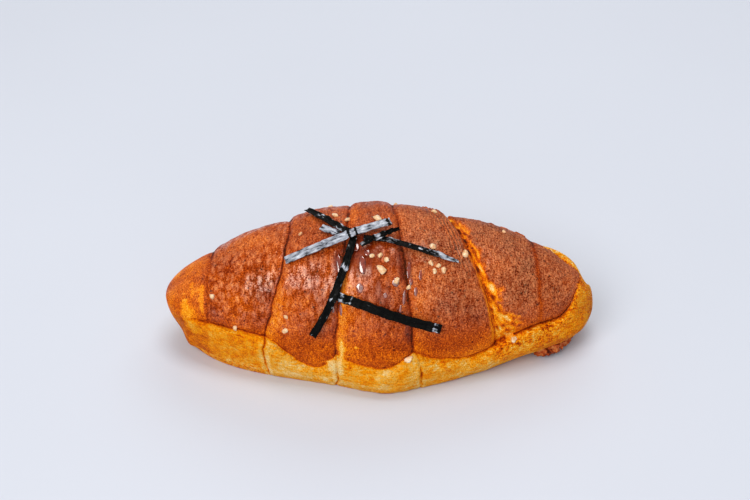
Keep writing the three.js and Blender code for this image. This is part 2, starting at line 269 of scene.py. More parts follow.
# Form of the roll: the plain radius, lowered at each crease by a narrow and a wide valley with one side
# standing higher, set in above the crust's edge, and swollen here and there. Sway in mm moves the creases
# and the edge a little off their plain course.
def rollFields(along, turn, sway=0.0):
    section = sectionAt(along)
    bounds = wrapBounds(turn)
    wrap = np.sum(along > bounds[1:-1], 0)
    low, high = sidesOf(bounds, wrap)
    share = np.clip((along - low) / (high - low), 0, 1)
    frontEdge = edgeTurn("frontEdge", wrap, share, along, bounds[-2])
    backEdge = edgeTurn("backEdge", wrap, share, along, bounds[-2])
    rise = np.minimum(turn - frontEdge, 180 - turn - backEdge) + 2 * sway
    inset = np.interp(wrap + share, np.arange(len(bounds)), rollForm["crustInset"])
    core = coreRadius(section, turn)

    onSide = smooth(np.minimum(turn, 180 - turn), *rollForm["sideStart"])
    edgeHere = 1 - smooth(np.maximum(frontEdge, backEdge), *rollForm["edgeEnd"])
    onCrust = mix(rollForm["footCrease"], 1, smooth(rise, -2, 3))
    blunt = smooth(core, *rollForm["bluntTip"])
    apart = (along - bounds[1:-1]) * rollForm["length"] / 2 + sway
    toBack = smooth(-np.cos(turn * degree), -0.2, 0.8)
    narrow, wide = rollForm["creaseWidth"], rollForm["puffWidth"]
    relief = 0
    for distance, (front, back, step) in zip(apart, rollForm["creases"][:, 3:]):
        tuck = np.tanh(distance / narrow) * np.exp(-np.abs(distance) / wide)
        valley = bell(distance, narrow) + bell(distance, wide)
        relief = relief + mix(front, back, toBack) * (step * tuck - 0.5 * valley)
    depth, width = rollForm["edgeNotch"]
    above = np.exp(-np.maximum(rise, 0) / rollForm["insetRecovery"])
    setIn = np.where(rise > 0, above, np.exp(np.minimum(rise, 0) / rollForm["footShoulder"]))
    edge = -inset * setIn - depth * bell(rise, width) * np.clip(inset, 0, 1)
    swell = sum(
        height * bell(along - a, reachAlong) * bell(turn - t, reachAround)
        for a, t, reachAlong, reachAround, height in rollForm["swells"]
    )
    radius = core + blunt * (onSide * (relief * onCrust + edgeHere * edge) + swell)
    return {
        "section": section, "radius": radius, "rise": rise, "apart": apart, "along": along,
        "turn": turn, "onSide": onSide, "blunt": blunt, "inset": inset, "core": core,
    }


# Point on the roll's form
def rollPoint(along, turn):
    fields = rollFields(along, turn)
    return onRoll(along, fields["section"], turn, fields["radius"])


# Point over the plain form, which has no creases
def ridePoint(along, turn, ride):
    section = sectionAt(along)
    return onRoll(along, section, turn, coreRadius(section, turn) + ride)


# Outward normal of the plain form: the cross product of small steps along and around it
def rideNormal(along, turn):
    lengthwise = ridePoint(along + 0.01, turn, 0) - ridePoint(along - 0.01, turn, 0)
    around = ridePoint(along, turn + 0.6, 0) - ridePoint(along, turn - 0.6, 0)
    return unit(np.cross(lengthwise, around))


crustLook = {
    # colour by bake, from raw dough to burnt
    "colours": (
        (0, (248, 214, 146)), (0.2, (242, 180, 70)), (0.36, (244, 154, 8)), (0.5, (230, 120, 4)),
        (0.64, (194, 80, 4)), (0.78, (148, 50, 5)), (0.9, (112, 26, 3)), (1, (62, 12, 3)),
    ),
    # painted sheen: a pale warm colour standing in for highlights on the crust's upper faces
    "paintedSheenColour": (240, 172, 120),
    # place along the crust and its bake there
    "crust": (
        (-1, 0.5), (-0.84, 0.51), (-0.77, 0.58), (-0.6, 0.59), (-0.3, 0.65), (-0.05, 0.66),
        (0.2, 0.64), (0.4, 0.65), (0.7, 0.64), (1, 0.63),
    ),
    # how much browner it is at the ridge, on the left and on the right
    "ridgeBake": (0.05, 0.16),
    # place along its lower edge and how much browner it is there, and how far up in degrees
    "edgeBake": ((-0.8, 0), (-0.6, 0.07), (-0.4, 0), (-0.1, -0.02), (0.05, -0.04), (0.25, -0.12)),
    "edgeReach": 14,
    # how much paler the crust is just right of each crease in front, and how far in mm
    "paleSide": ((0, 0.2, 0.24, 0.06, 0, 0), 4.5),
    # foot of each wrap, in front and behind
    "frontFoot": (0.56, 0.38, 0.26, 0.33, 0.33, 0.42, 0.46),
    "backFoot": (0.4, 0.33, 0.27, 0.3, 0.34, 0.3, 0.26),
    # sheen of each wrap
    "gloss": (0.3, 1.4, 1.1, 0.9, 0.45, 0.3, 0.3),
    # painted sheen of each wrap: how much pale warm colour stands in for highlights on its upper faces
    "bloom": (0.4, 1.0, 0.7, 0.6, 1.4, 1.6, 1.4),
    "underside": 0.72,
    # paler patches: along, turn, reach along and around in mm, bake
    "pale": (
        (-0.886, 14.7, 2.2, 5.5, 0.35),
        (-0.842, -0.7, 2.6, 3, 0.34),
        (-0.811, 40.2, 1.1, 6, 0.4),
        (-0.86, 48.8, 0.8, 4, 0.42),
        (-0.173, 12.7, 0.9, 5, 0.12),
        (-0.201, 0.6, 3.4, 3.4, 0.08),
        (0.162, 4.1, 1.6, 3.5, 0.2),
        (0.587, 11.5, 2.4, 1.6, 0.14),
    ),
    # buttered patches: along, turn, reach along and around in mm, strength
    "wet": (
        (-0.08, 65.9, 8, 9, 1),
        (-0.18, 63.4, 4, 8, 0.8),
        (0, 50.3, 10, 9, 0.5),
        (0.11, 62.5, 4, 12, 0.9),
        (0.131, 42.5, 3, 16, 0.7),
        (-0.301, 45.6, 10, 14, 0.4),
        (-0.201, 34.1, 2, 14, 0.6),
        (0.05, 112, 8, 10, 0.5),
    ),
}

# in mm
crustRelief = {
    # height and size of the bumps
    "swell": (0.34, 11),
    "wrinkle": (0.1, 2.2),
    "lump": (0.4, 7),
    "smallLump": (0.22, 2.6),
    "blister": (0.4, 2.6),
    # net of cracks in the glaze: depth, size of its cells, width
    "crack": (0.22, 2.6, 0.12),
    # stretched dough right of the fifth crease: width at the ridge and at the foot, depth
    "stretch": (4.8, 10, 0.9),
    "strand": (0.75, 1.8),
    # fine ridges on the fifth crease's lip: spacing and height
    "lipRidges": (1.3, 0.3),
    # slits between the blocks of the foot: depth and width, and how far the fourth one strays right
    "slit": (0.8, 0.35),
    "slitStray": 2.6,
}


# Distance in mm from each crease, those of the foot straying from those of the crust
def creaseDistances(fields):
    apart = fields["apart"].copy()
    onFoot = 1 - smooth(fields["rise"], -4, 2)
    apart[3] = apart[3] - crustRelief["slitStray"] * onFoot
    jagged = joined(fields["turn"] / 4, fields["along"] * 9, 0)
    return apart + 0.5 * onFoot * clouds(jagged, 2, 87)


# Fine relief in mm: noise swells and wrinkles the crust, cracks it where one is near 0 and blisters it where
# one is high; the foot is lumpy, with a slit at each crease; right of the fifth crease the dough sinks
# between strands, and left of it there are ridges as a sine of the distance
def fineRelief(fields, spots, flow):
    rise, turn = fields["rise"], fields["turn"]
    crust = smooth(rise, -1, 2)

    def bumps(name, seed):
        height, size = crustRelief[name]
        return height * clouds(spots, size, seed)

    depth, size, width = crustRelief["crack"]
    net = np.abs(clouds(flow * (1, 0.6, 1), size, 21))
    cracks = (0.1 + 0.6 * np.minimum(stepAt(crustLook["gloss"], fields), 1)) * np.exp(-net / width)
    height, size = crustRelief["blister"]
    dry = smooth(fields["along"], 0.05, 0.2) * smooth(np.minimum(turn, 180 - turn), 35, 60)
    blisters = height * dry * smooth(noise(spots / size, 25), 0.3, 0.6)
    wrinkles = bumps("wrinkle", 23) - depth * cracks + blisters

    depth, width = crustRelief["slit"]
    slits = depth * sum(bell(apart, width) for apart in creaseDistances(fields)[1:4])
    lumps = bumps("lump", 9) + bumps("smallLump", 11)

    top, bottom, sink = crustRelief["stretch"]
    beside = fields["apart"][4]
    ragged = 0.5 * clouds(flow * (0.4, 1, 1), 5, 31) + 0.4 * clouds(flow, 1.6, 35)
    across = mix(bottom, top, smooth(turn, 10, 80)) * (1 + ragged)
    valley = smooth(beside, -0.2, 0.7) * (1 - smooth(beside, 0.55 * across, across))
    height, size = crustRelief["strand"]
    lengthwise, around = flow[..., 0], flow[..., 1]
    tilted = joined(lengthwise + 0.6 * around, 0.4 * (around - 0.6 * lengthwise), 0)
    strands = clouds(tilted, size, 33)
    stretched = valley * (height * strands - sink)
    spacing, height = crustRelief["lipRidges"]
    lip = bell(beside + 4, 3.2) * smooth(turn, 50, 75) * (1 - smooth(turn, 130, 160))
    ridges = height * lip * np.sin(2 * np.pi * (beside + 1.2 * clouds(flow, 8, 41)) / spacing)

    broad = bumps("swell", 3) - crustRelief["swell"][0] / 2
    detail = broad + (1 - crust) * (lumps - slits) + crust * (wrinkles + stretched + ridges)
    return {
        "relief": fields["blunt"] * fields["onSide"] * detail, "stretched": valley * crust,
        "strands": strands, "cracks": cracks, "ridges": ridges,
    }


# Value of each wrap, stepping softly at the creases
def stepAt(values, fields, reach=2.0):
    steps = zip(fields["apart"], np.diff(values))
    return values[0] + sum(step * smooth(apart, -reach, reach) for apart, step in steps)


# 1 at a place on the roll, falling off as a bell over its reach along and around in mm
def spotMask(fields, along, turn, reachAlong, reachAround):
    aside = (fields["along"] - along) * rollForm["length"] / 2
    around = (fields["turn"] - turn) * degree * fields["core"]
    return bell(aside, reachAlong) * bell(around, reachAround)


# Bake of the crust: that of its place along the roll, mottled, browner up the wraps and in the fine cracks,
# its own at the lower edge, dark in the creases, partly browned seams and partly painted shade where they
# are deeper, paler right of some of them and where it is stretched, with a painted shadow under the fifth
# crease's lip
def crustBake(fields, fine, spots, flow):
    rise, turn, along = fields["rise"], fields["turn"], fields["along"]
    upward = np.sin(turn * degree)
    bake = np.interp(along, *np.array(crustLook["crust"]).T)
    bake = bake + 0.11 * clouds(spots, 13, 51) + 0.025 * clouds(spots, 4, 53)
    bake = bake + 0.13 * fine["cracks"] - 0.5 * fine["ridges"]
    bake = bake + mix(*crustLook["ridgeBake"], smooth(along, 0.05, 0.25)) * upward
    atEdge = np.interp(along, *np.array(crustLook["edgeBake"]).T)
    bake = bake + atEdge * np.exp(-np.maximum(rise, 0) / crustLook["edgeReach"])
    atLeftTip = 1 - smooth(along, -0.82, -0.72)
    bake = bake + atLeftTip * (0.03 + 0.13 * clouds(spots, 5, 58, 3))

    depths = mix(rollForm["creases"][:, 3], rollForm["creases"][:, 4], (turn > 90)[..., None])
    paler, reach = crustLook["paleSide"]
    inFront = 1 - smooth(turn, 40, 75)
    width = 0.45 + 0.3 * clouds(spots, 5, 55)
    dark = 0.8 - 0.3 * upward ** 2 + 0.5 * clouds(spots, 9, 59)
    for apart, depth, pale in zip(fields["apart"], np.moveaxis(depths, -1, 0), paler):
        # darker along the creases, more where they are deeper: partly browned seams and partly painted shade
        lines = 0.5 * dark * bell(apart, width) - 0.05 * bell(apart - 1.8, 1.4)
        bake = bake + np.clip(depth - 0.3, 0, 1) * lines
        bake = bake - pale * inFront * np.where(apart > 0, np.exp(-np.abs(apart) / reach), 0)

    beside = fields["apart"][4]
    onLip = bell(beside + 0.4, 0.6) * smooth(turn, 8, 16) * (1 - smooth(turn, 70, 100))
    torn = 1 + 0.8 * clouds(flow, 3, 57)
    # painted shadow: a dark line at the stretch's left border, under the lip of the fifth crease
    lipShadow = 0.3 * bell(beside - 0.9, 0.45) * smooth(turn, 15, 35) * torn
    pulled = 0.34 + 0.14 * smooth(turn, 15, 70) + 0.7 * fine["strands"] + lipShadow
    return mix(mix(bake, pulled, 0.9 * fine["stretched"]), 0.32, 0.75 * onLip)


# Bake of the foot: each block its own, mottled and streaked, with dark slits between paler lips
def footBake(fields, spots, flow):
    blocks = dict(fields, apart=creaseDistances(fields))
    front = stepAt(crustLook["frontFoot"], blocks, 0.8)
    bake = mix(front, stepAt(crustLook["backFoot"], blocks, 0.8), smooth(fields["turn"], 80, 100))
    bake = bake + 0.09 * clouds(spots, 6, 61) + 0.07 * clouds(spots, 2.2, 65)
    slits = blocks["apart"][1:4]
    nearSlit = sum(bell(apart, 4) for apart in slits)
    bake = bake + 0.1 * nearSlit * clouds(flow * (1, 0.25, 1), 1.4, 69)
    for apart in slits:
        bake = bake - 0.12 * bell(np.abs(apart) - 1, 0.8) + 0.4 * bell(apart, 0.22)
    return bake - 0.1 * bell(spots[..., 2] - 4.4, 1.3)


# Attributes of the surface: its bake, brown in the crack under the crust, partly painted shade under its
# lip, and on the tray side and pale in patches, and how far it is wet, glossy, under a painted sheen,
# speckled and crust
def bakeFields(fields, fine, spots, facing, flow):
    rise, turn, along = fields["rise"], fields["turn"], fields["along"]
    crust = smooth(rise, -0.8, 0.8)
    atRight = smooth(along, 0.4, 0.6)
    bake = mix(footBake(fields, spots, flow), crustBake(fields, fine, spots, flow), crust)
    # darker line at the crust's lower edge: partly a browned crack and partly painted shade under the
    # crust's overhanging lip
    crack = (0.22 + 0.1 * atRight + 0.16 * clouds(spots, 4, 75)) * np.clip(fields["inset"], 0, 1)
    bake = bake + crack * (1 - 0.8 * bell(along + 0.2, 0.2)) * bell(rise - 0.2, 1 + 0.4 * atRight)
    ragged = 0.4 * clouds(spots, 2.2, 67)
    for *place, tone in crustLook["pale"]:
        bake = mix(bake, tone, 0.85 * smooth(spotMask(fields, *place) + ragged, 0.35, 0.7))
    under = smooth(0.08 * clouds(spots, 5, 73) - facing[..., 2], 0.74, 0.84)
    bake = mix(bake, crustLook["underside"] + 0.08 * clouds(spots, 9, 63, 3), under)

    wet = 0
    for *place, strength in crustLook["wet"]:
        wet = np.maximum(wet, strength * spotMask(fields, *place))
    wet = crust * smooth(wet + 0.3 * clouds(flow * (1, 0.4, 1), 4, 71), 0.35, 0.8)
    wet = wet * (1 - 0.8 * np.max(bell(fields["apart"], 1.1), 0))

    height = np.minimum(turn, 180 - turn)
    plain = crust * (1 - fine["stretched"]) * (1 - np.max(bell(fields["apart"], 0.9), 0))
    plain = plain * (1 - 0.5 * smooth(turn, 95, 120))
    gloss = plain * stepAt(crustLook["gloss"], fields)
    gloss = gloss * smooth(height, 14, 38) * (1 - 0.8 * smooth(height, 70, 88))
    # painted sheen, only on the upper faces where the highlights fall
    bloom = plain * stepAt(crustLook["bloom"], fields) * smooth(height, 18, 50)
    lowLeft = (1 - smooth(along, -0.6, -0.45)) * (1 - smooth(spots[..., 2], 4, 7))
    onRim = mix(0.5 * smooth(along, 0.1, 0.3), 0.9, atRight) * mix(0.3, 1, smooth(rise, -30, -10))
    specks = (1 - crust) * np.maximum(onRim, np.maximum(lowLeft, 0.2))
    return {"bake": bake, "wet": wet, "gloss": gloss, "bloom": bloom, "specks": specks, "crust": crust}


# Grid of the roll: columns follow the creases and crowd beside them, rows follow the crust's edge
def makeRoll():
    counts = rollForm["wrapColumns"]
    wrap = np.repeat(np.arange(len(counts)), counts)[1:]
    even = np.concatenate([np.arange(count) / count for count in counts])[1:]
    atTip = (wrap == 0) | (wrap == len(counts) - 1)
    crowded = (1 - np.cos(np.pi * even)) / 2
    share = np.where(atTip, crowded, mix(even, crowded, rollForm["columnCrowd"]))

    def alongNear(turn):
        bounds = wrapBounds(np.full(len(wrap), float(turn)))
        return mix(*sidesOf(bounds, wrap), share), bounds[-2]

    def edgeNear(side, turn):
        along, lastBound = alongNear(turn)
        return np.clip(edgeTurn(side, wrap, share, along, lastBound), *rollForm["edgeRows"])

    def rowsBetween(low, high, count, crowd=0.0):
        way = np.arange(count) / count
        way = way - crowd * np.sin(2 * np.pi * way) / (2 * np.pi)
        return mix(np.broadcast_to(low, len(wrap))[:, None], np.broadcast_to(high, len(wrap))[:, None], way)

    front = edgeNear("frontEdge", 20)
    back = 180 - edgeNear("backEdge", 160)
    corner = floorTurn(sectionAt(alongNear(0)[0]))
    backCorner = 180 - floorTurn(sectionAt(alongNear(180)[0]))
    turn = np.concatenate([
        rowsBetween(-90, corner, rollForm["underRows"]),
        rowsBetween(corner, front, rollForm["footRows"]),
        rowsBetween(front, back, rollForm["domeRows"], rollForm["rowCrowd"]),
        rowsBetween(back, backCorner, rollForm["footRows"]),
        rowsBetween(backCorner, 270, rollForm["underRows"]),
    ], 1)
    along = mix(*sidesOf(wrapBounds(turn), wrap[:, None]), share[:, None])

    plain = ridePoint(along, turn, 0)
    sway = 0.6 * clouds(plain, 6, 81, 3) * smooth(np.abs(along), 1, 0.9)
    fields = rollFields(along, turn, sway)
    spots = onRoll(along, fields["section"], turn, fields["radius"])
    unrolled = rollForm["flowRadius"] * degree
    flow = joined(plain[..., 0], unrolled * turn, 0)
    fine = fineRelief(fields, spots, flow)
    spots = onRoll(along, fields["section"], turn, fields["radius"] + fine["relief"])
    facing = unit(np.cross(np.gradient(spots, axis=0), np.gradient(spots, axis=1)))
    looks = bakeFields(fields, fine, spots, facing, flow)

    around = unrolled * np.concatenate([turn, turn[:, :1] + 360], 1)
    spread = joined(np.concatenate([plain[..., 0], plain[:, :1, 0]], 1), around)
    tips = np.array([-1.0, 1])
    ends = onRoll(tips, sectionAt(tips), 0, 0)
    fieldsOut = {name: values[None] for name, values in looks.items()}
    return closedMesh("roll_crust", spots[None], ends[None], spread[None], fieldsOut)


# offsets of the facets, sharpness of their edges, number of bumps on a lump, and its step through the noise
lumpForm = {"offsets": (0.5, 0.95), "power": 16, "bumps": 1.6, "apart": 7.3}


# Unit lumps: a direction's radius is (sum of (direction . facet / offset)^p)^(-1/p) over random facets and
# a ball, which rounds the facets' edges; noise roughens it
def lumpGrid(count, columns, rows, facets, rough, seed):
    polar = np.pi * np.arange(1, columns + 1)[:, None] / (columns + 1)
    around = 2 * np.pi * np.arange(rows) / rows
    ring = np.sin(polar)
    way = joined(-np.cos(polar), -ring * np.sin(around), -ring * np.cos(around))
    poles = np.array([[-1.0, 0, 0], [1, 0, 0]])
    chance = np.random.default_rng(seed)
    facing = unit(chance.normal(size=(count, facets, 3)))
    offset = chance.uniform(*lumpForm["offsets"], (count, facets))
    power = lumpForm["power"]

    def shaped(directions):
        number = np.arange(count).reshape(-1, *[1] * directions.ndim)
        cut = np.maximum(np.einsum("...i,kfi->k...f", directions, facing), 0)
        cut = cut / offset.reshape(count, *[1] * (directions.ndim - 1), facets)
        radius = (np.sum(cut ** power, -1) + 1) ** (-1 / power)
        bumps = noise(directions * lumpForm["bumps"] + number * lumpForm["apart"], seed)
        return directions * (radius * (1 + rough * bumps))[..., None]

    turns = np.concatenate([around, [2 * np.pi]])
    spread = joined(polar, turns)
    return shaped(way), shaped(poles), np.broadcast_to(spread, (count, *spread.shape))


# Piece of lumps, each scaled by half lengths along a spun direction on the surface, across it and outward
def makeLumps(name, look, seed, centres, outward, spin, halves):
    shape, poles, spread = lumpGrid(len(centres), *look["grid"], look["facets"], look["rough"], seed)
    x, y, z = outward.T
    first = joined(1 - x * x / (1 + z), -x * y / (1 + z), -x)
    turned = first * np.cos(spin)[:, None] + np.cross(outward, first) * np.sin(spin)[:, None]
    axes = np.stack([turned, np.cross(outward, turned), outward], 1) * halves[:, :, None]
    points = np.einsum("kcri,kij->kcrj", shape, axes) + centres[:, None, None]
    ends = np.einsum("kei,kij->kej", poles, axes) + centres[:, None]
    return closedMesh(name, points, ends, spread)


shreds = {
    "thickness": 0.34,
    "plainThickness": 0.4,
    "gap": 0.3,
    "stations": 110,
    "across": 11,
    # share of the width and size in mm of the torn edges, and height and size of the crinkles
    "tear": (0.17, 2.4),
    "crinkle": (0.22, 3.5),
    # slant of the ends, and how far from an end it, the lift and the taper reach
    "slant": 0.5,
    "slantReach": 3,
    "liftReach": 2.5,
    "taperReach": 5,
    "dark": ((0.3, (3, 3, 3)), (0.6, (9, 10, 9)), (0.9, (30, 32, 27))),
    # painted reflection: pale silvery greys that stand in for the shine on the seaweed's face
    "silver": ((0.22, (40, 44, 52)), (0.5, (156, 162, 176)), (0.8, (214, 220, 232))),
    # path as along and turn, width, ride, then looks: shine with glints as way along, reach and strength,
    # which place the painted reflection, cup of the edges, lift of the ends, taper of the ends, and folds as
    # way along, height and width in mm
    "nori_strip_a": dict(
        path=((-0.334, 103), (-0.228, 87.4), (-0.139, 79.2)), width=2.4, ride=(0.1, 0.2, 0.1),
        shine=0.12, glints=((0.25, 0.1, 0.25), (0.75, 0.06, 0.35)),
        cup=0.25, lift=(0.5, 0), taper=(0.85, 0.9), folds=((0.4, 0.3, 1.2), (0.7, 0.35, 0.9)),
    ),
    "nori_strip_b": dict(
        path=((-0.263, 83.7), (-0.224, 81), (-0.184, 79.1)), width=2.4, ride=(0.3, 0.2, 0.1),
        shine=0.6, glints=((0.3, 0.3, 0.35),),
        cup=-0.15, lift=(0.4, 0), taper=(0.95, 0.8), folds=((0.5, 0.2, 1.0),),
    ),
    "nori_strip_c": dict(
        path=((-0.422, 67), (-0.159, 75.6), (0.043, 82.4)), width=2.9, ride=(0.1, 1.2, 1.8),
        shine=0.85, glints=((0.54, 0.012, -0.9), (0.61, 0.012, -0.9), (0.97, 0.02, -0.8)),
        cup=0.12, lift=(0.2, 0.3), taper=(0.85, 1), folds=((0.53, 0.5, 0.6), (0.6, 0.6, 0.5)),
    ),
    "nori_strip_d": dict(
        path=((-0.118, 76.4), (-0.182, 53.5), (-0.301, 24.3)), width=2.5, ride=(0.1, 0.2, 0.3),
        shine=0.08, glints=((0.36, 0.03, 0.6), (0.52, 0.03, 0.2), (0.66, 0.02, 0.3)),
        cup=0.3, lift=(0, 0.4), taper=(0.8, 0.95), folds=((0.47, 0.7, 0.9), (0.66, 0.4, 1.0)),
    ),
    "nori_strip_e": dict(
        path=((-0.075, 75.1), (0.119, 71.9), (0.343, 65.7)), width=1.9, ride=(0.1, 0.2, 0.1),
        shine=0.2, glints=((0.3, 0.08, 0.2), (0.65, 0.1, 0.15), (0.88, 0.12, 0.5)),
        cup=0.2, lift=(0, 0.3), taper=(0.9, 0.35), folds=((0.3, 0.4, 1.4), (0.82, 0.4, 1.5)),
    ),
    "nori_strip_f": dict(
        path=((-0.186, 47.2), (0.043, 37.4), (0.264, 28.8)), width=3.1, ride=(0.3, 0.2, 0.3),
        shine=0.06,
        glints=((0.03, 0.025, 0.6), (0.12, 0.01, 0.4), (0.93, 0.012, 0.6), (0.96, 0.02, 0.35)),
        cup=0.2, lift=(0.6, 0.5), taper=(0.9, 1),
        folds=((0.06, 0.7, 1.0), (0.2, 0.3, 0.8), (0.9, 0.6, 0.7)),
    ),
    "nori_strip_g": dict(
        path=((-0.085, 70.3), (0, 75), (0.082, 79.3)), width=2, ride=(0.7, 0.8, 0.6),
        shine=0.22, glints=((0.4, 0.12, 0.3),),
        cup=0.6, lift=(0.2, 0.6), taper=(0.7, 0.5),
        folds=((0.3, 0.6, 0.8), (0.6, 0.7, 0.7), (0.8, 0.5, 0.6)),
    ),
}


# Parabola through a start, a middle and an end
def through(points, way):
    start, middle, end = (np.array(point, float) for point in points)
    way = np.asarray(way)[..., None]
    return start * (1 - way) * (1 - 2 * way) + middle * 4 * way * (1 - way) + end * way * (2 * way - 1)


# Middle line of a shred over the plain form, with its normals
def shredLine(shred, way):
    path = through([(*spot, ride) for spot, ride in zip(shred["path"], shred["ride"])], way)
    above = shreds["gap"] + shreds["plainThickness"] / 2 + path[..., 2]
    return ridePoint(path[..., 0], path[..., 1], above), rideNormal(path[..., 0], path[..., 1])


# Seaweed shred: a ribbon along its line with torn edges and slanted ends, cupped across as aside^2 and
# lifted in a bell at each fold, its upper and lower faces joined round the edges
def makeShred(name, seed):
    shred = shreds[name]
    way = np.linspace(0, 1, shreds["stations"])
    line, normal = shredLine(shred, way)
    tangent = unit(np.gradient(line, axis=0))
    sideways = np.cross(tangent, normal)
    length = np.sum(np.linalg.norm(np.diff(line, axis=0), axis=-1))
    placed = way * length

    aside = np.linspace(-1, 1, shreds["across"])
    edge = joined(placed, seed, 0)
    depth, size = shreds["tear"]
    oneEdge, otherEdge = (clouds(edge, size, part, 3)[:, None] for part in (91, 95))
    torn = depth * np.where(aside > 0, oneEdge, otherEdge)
    startTaper, endTaper = shred["taper"]
    reach = shreds["taperReach"]
    taper = np.interp(placed, [0, reach, length - reach, length], [startTaper, 1, 1, endTaper])
    across = aside * shred["width"] / 2 * (taper[:, None] + torn)
    slant = shreds["slant"] * noise(joined(aside * 2, seed, 0), 97)
    reach = shreds["slantReach"]
    endward = slant * (bell(placed, reach) + bell(placed - length, reach))[:, None]

    startLift, endLift = shred["lift"]
    reach = shreds["liftReach"]
    lift = startLift * bell(placed, reach) + endLift * bell(placed - length, reach)
    raised = lift[:, None] + shred["cup"] * aside ** 2
    for at, height, width in shred["folds"]:
        lean = 0.5 * across * np.cos(seed + 9 * at)
        raised = raised + height * bell(placed[:, None] - at * length - lean, width)
    spot = joined(placed[:, None], across, 5 * seed)
    height, size = shreds["crinkle"]
    raised = raised + height * np.abs(clouds(spot, size, 99))

    centre = line[:, None] + sideways[:, None] * across[..., None] + tangent[:, None] * endward[..., None]
    half = shreds["thickness"] / 2
    upper = centre + normal[:, None] * (raised + half)[..., None]
    lower = centre + normal[:, None] * (raised - half)[..., None]
    points = np.concatenate([lower, upper[:, ::-1]], 1)
    ends = np.stack([points[0].mean(0), points[-1].mean(0)])
    folded = np.concatenate([across, across[:, ::-1], across[:, :1]], 1)
    spread = joined(placed[:, None], folded + 40 * seed)
    # shine and glints place the painted reflection, a pale grey laid over the seaweed's dark colour
    glints = sum(strength * bell(way - at, reach) for at, reach, strength in shred["glints"])
    shine = np.broadcast_to((shred["shine"] + glints)[None, :, None], (1, *points.shape[:2]))
    return closedMesh(name + "_shred", points[None], ends[None], spread[None], {"shine": shine})


grains = {
    # along, turn and half length in mm of the grains in front and on the ridge
    "spots": (
        (-0.205, 94.7, 1.15), (-0.148, 90.7, 0.9), (-0.013, 87.7, 1.5), (-0.04, 66.2, 0.8),
        (-0.005, 66.1, 0.95), (0.028, 64.3, 0.9), (0.003, 59.7, 1.6), (0.23, 73.4, 1.4), (0.22, 64.7, 1),
        (0.256, 63.3, 0.9), (0.236, 60.5, 1), (0.277, 61, 1), (0.376, 72.1, 1.2), (0.071, 54.5, 1.2),
        (0.123, 51.9, 0.8), (-0.757, 45.4, 0.95), (-0.655, 18.4, 0.9), (-0.427, 24.9, 0.9),
        (-0.422, 34.6, 0.7), (0.124, 8.8, 1.3), (0.071, 123, 0.9), (0.246, 103.3, 1), (0.601, 10.1, 1.3),
        (0.566, 99, 0.7), (-0.359, 83.9, 0.7),
    ),
    "strays": 12,
    "strayAlong": (-0.6, 0.6),
    "strayTurn": (118, 152),
    "strayHalf": (0.7, 1.4),
    # facets cut a grain down, so it starts larger
    "start": 1.3,
    "shape": (1, 0.78, 0.66),
    "lift": 0.2,
    "grid": (15, 22),
    "facets": 16,
    "rough": 0.12,
    "colours": ((0.1, (206, 140, 84)), (0.45, (236, 190, 140)), (0.8, (250, 224, 188))),
}


# Chopped grains: faceted lumps at their places, then strays drawn over the back
def makeGrains():
    draw = makeRandom(11)
    ranges = [grains[name] for name in ("strayAlong", "strayTurn", "strayHalf")]
    strays = [[mix(low, high, next(draw)) for low, high in ranges] for count in range(grains["strays"])]
    along, turn, half = np.array([*grains["spots"], *strays]).T
    spin = np.array([next(draw) * np.pi for place in along])
    outward = rideNormal(along, turn)
    centres = rollPoint(along, turn) + outward * (grains["lift"] * half)[:, None]
    halves = grains["start"] * half[:, None] * np.array(grains["shape"])
    return makeLumps("grain_topping", grains, 101, centres, outward, spin, halves)


drops = {
    "lift": 0.1,
    "flat": 0.6,
    "grid": (13, 18),
    "facets": 0,
    "rough": 0.18,
    "colours": ((0.25, (92, 18, 3)), (0.75, (160, 54, 12))),
    # along, turn, half width, half length round the roll, height
    "places": np.array([
        (-0.185, 63.5, 0.9, 3.0, 0.3), (-0.081, 62.1, 1.1, 3.0, 0.34), (-0.107, 71.1, 0.8, 1.5, 0.3),
        (-0.06, 68.1, 0.9, 1.2, 0.3), (0.066, 53.9, 1.1, 1.5, 0.4), (0.123, 60.4, 0.6, 2.6, 0.25),
        (0.102, 46.3, 0.5, 2.4, 0.25), (0.133, 54.6, 0.6, 1.1, 0.25), (0.175, 58.1, 0.5, 1.6, 0.25),
        (0.154, 49.7, 0.6, 1.4, 0.25), (-0.092, 51, 1.1, 1.5, 0.18), (-0.176, 40.1, 0.5, 2.0, 0.25),
        (-0.211, 41, 0.5, 1.6, 0.25), (0.02, 47.3, 0.6, 0.9, 0.16), (0.085, 39.9, 0.4, 1.8, 0.25),
    ]),
}


# Drops of butter: smooth flat lumps, long round the roll
def makeDrops():
    along, turn, wide, long, high = drops["places"].T
    outward = rideNormal(along, turn)
    centres = rollPoint(along, turn) + drops["lift"] * outward
    halves = joined(wide, long, drops["flat"] * high)
    return makeLumps("butter_drops", drops, 111, centres, outward, np.zeros(len(along)), halves)


leak = {
    # line on the tray, rise of the lumps from its start to its end, their half widths and strays aside
    "path": ((53.5, -10.7), (57, -9.7), (60.5, -7.7), (63.6, -5.2)),
    "rise": (2.9, 4.2),
    "half": (1.6, 2.8),
    "stray": 0.7,
    "lumps": 16,
    "shape": (1, 0.85, 0.86),
    "grid": (21, 30),
    "facets": 12,
    "rough": 0.34,
    "clearance": 0.15,
    "colours": ((0.15, (74, 16, 3)), (0.5, (180, 70, 18)), (0.85, (230, 144, 74))),
}


